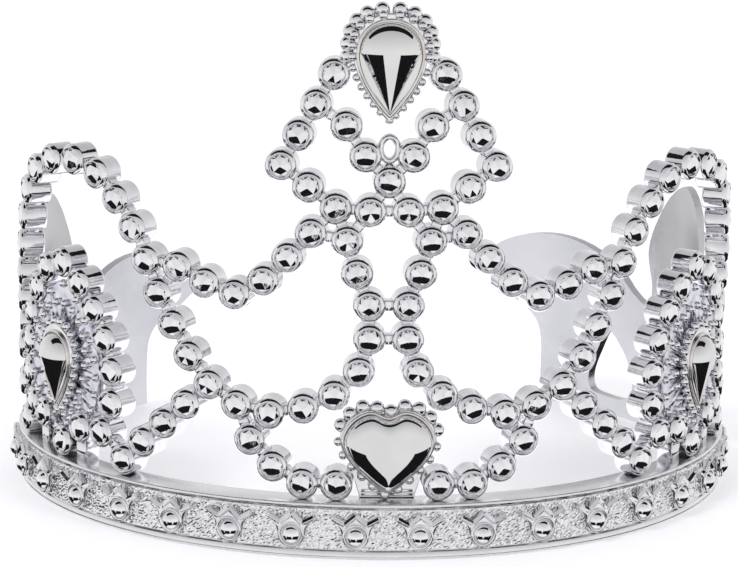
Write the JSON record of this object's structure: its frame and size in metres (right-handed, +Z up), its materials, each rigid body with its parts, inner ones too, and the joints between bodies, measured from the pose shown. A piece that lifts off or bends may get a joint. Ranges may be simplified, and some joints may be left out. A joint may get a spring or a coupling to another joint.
{
  "type": "toy crown",
  "caption": "Open-backed toy crown: a raised band carrying beaded scrollwork, a tall gemmed peak, a heart and two side gems.",
  "frame": {"origin": "centre of the ring, on the surface that the crown stands on", "axes": "+X to the right seen from the front, -Y the front, +Z up"},
  "size_m": [0.1436, 0.1074, 0.0968],
  "materials": {
    "metallised_plastic": "vacuum-metallised mirror silver",
    "stone_facets": "vacuum-metallised, faceted",
    "gem_facets": "vacuum-metallised, polished gem faces"
  },
  "bodies": {
    "root": {"band": "metallised_plastic", "flower_studs": "metallised_plastic", "ball_studs": "stone_facets", "rear_leaf_right": "metallised_plastic", "rear_leaf_left": "metallised_plastic", "peak_frame": "metallised_plastic", "peak_inner_v": "metallised_plastic", "peak_keyhole": "metallised_plastic", "peak_setting": "metallised_plastic", "peak_gem": "gem_facets", "column_right": "metallised_plastic", "column_left": "metallised_plastic", "lower_arc_right": "metallised_plastic", "lower_arc_left": "metallised_plastic", "garland_right": "metallised_plastic", "garland_left": "metallised_plastic", "swag_right": "metallised_plastic", "swag_left": "metallised_plastic", "heart_setting": "metallised_plastic", "heart_gem": "gem_facets", "side_arch_right": "metallised_plastic", "side_arch_left": "metallised_plastic", "side_scroll_right": "metallised_plastic", "side_scroll_left": "metallised_plastic", "front_brace_right": "metallised_plastic", "front_brace_left": "metallised_plastic", "rear_brace_right": "metallised_plastic", "rear_brace_left": "metallised_plastic", "side_setting_right": "metallised_plastic", "side_setting_left": "metallised_plastic", "side_gem_right": "gem_facets", "side_gem_left": "gem_facets", "peak_stones": "stone_facets", "column_stones": "stone_facets", "arc_stones": "stone_facets", "garland_stones": "stone_facets", "swag_stones": "stone_facets", "arch_stones": "stone_facets", "scroll_stones": "stone_facets", "brace_stones": "stone_facets"}
  },
  "joints": []
}
